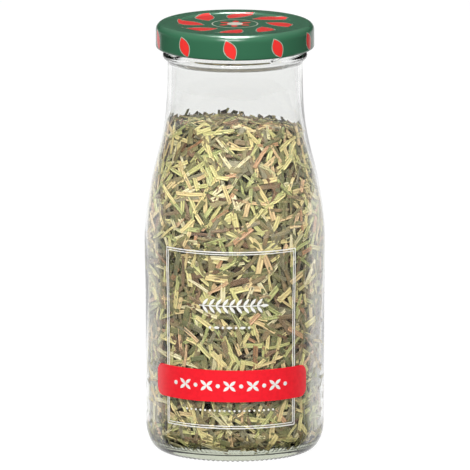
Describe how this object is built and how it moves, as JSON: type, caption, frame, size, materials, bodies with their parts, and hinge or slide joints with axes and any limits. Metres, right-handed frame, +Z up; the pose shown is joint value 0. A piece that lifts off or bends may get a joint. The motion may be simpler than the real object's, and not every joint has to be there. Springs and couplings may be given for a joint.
{
  "type": "glass jar of dried rosemary",
  "caption": "Small round glass jar with a sheet-metal twist-off lid, filled with cut dried rosemary leaves, with a plain printed frame and banner on its front.",
  "frame": {"origin": "middle of the jar's round foot, on the surface that it stands on", "axes": "+Z up along the axis of the jar and its lid; the label faces -Y"},
  "size_m": [0.0526, 0.0531, 0.1258],
  "materials": {
    "jar_glass": "polished",
    "rosemary_leaves": "matte",
    "lid_cap": "gloss",
    "lid_gasket": "satin",
    "label_frame": "satin",
    "label_banner": "satin"
  },
  "bodies": {
    "jar": {"jar_glass": "jar_glass", "rosemary_leaves": "rosemary_leaves", "label_frame_upper": "label_frame", "label_frame_lower": "label_frame", "label_banner": "label_banner"},
    "lid_seal": {"lid_gasket": "lid_gasket"},
    "lid": {"lid_cap": "lid_cap"}
  },
  "joints": [
    {"name": "lid_rise", "type": "slide", "parent": "jar", "child": "lid_seal", "axis": [0, 0, 1], "range_m": [0, 0.0005]},
    {"name": "lid_turn", "type": "hinge", "parent": "lid_seal", "child": "lid", "pos_m": [0, 0, 0.1186], "axis": [0, 0, 1], "range_deg": [0, 55]}
  ],
  "couplings": [
    {"joint": "lid_rise", "follows": "lid_turn", "m_per_rad": 0.00050532}
  ]
}
